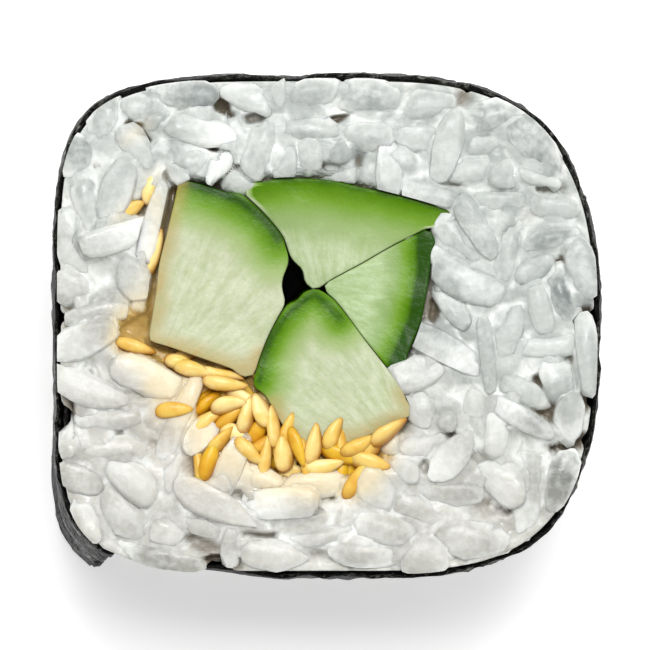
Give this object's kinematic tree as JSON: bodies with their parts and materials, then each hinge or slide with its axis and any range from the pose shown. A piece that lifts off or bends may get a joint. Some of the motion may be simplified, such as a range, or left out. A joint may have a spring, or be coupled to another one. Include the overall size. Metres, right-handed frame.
{
  "type": "cucumber maki roll piece",
  "caption": "Slice of a rice roll in a lapped seaweed wrap, with cucumber sticks and sesame in the middle, standing on its cut face.",
  "frame": {"origin": "on the resting cut face, under the middle of the roll", "axes": "+Z along the roll, from the resting cut face to the upper one; +X across the roll's wider side; +Y across its narrower side"},
  "size_m": [0.031, 0.0286, 0.022],
  "materials": {
    "nori": "roasted seaweed, satin and finely crinkled",
    "rice": "moist cooked rice, slightly translucent",
    "cucumber": "moist flesh, pale in the middle and green at the skin",
    "sesame": "toasted hulled seeds, satin"
  },
  "bodies": {
    "root": {"nori": "nori", "rice": "rice", "cucumber_1": "cucumber", "cucumber_2": "cucumber", "cucumber_3": "cucumber", "cucumber_4": "cucumber"}
  },
  "joints": []
}
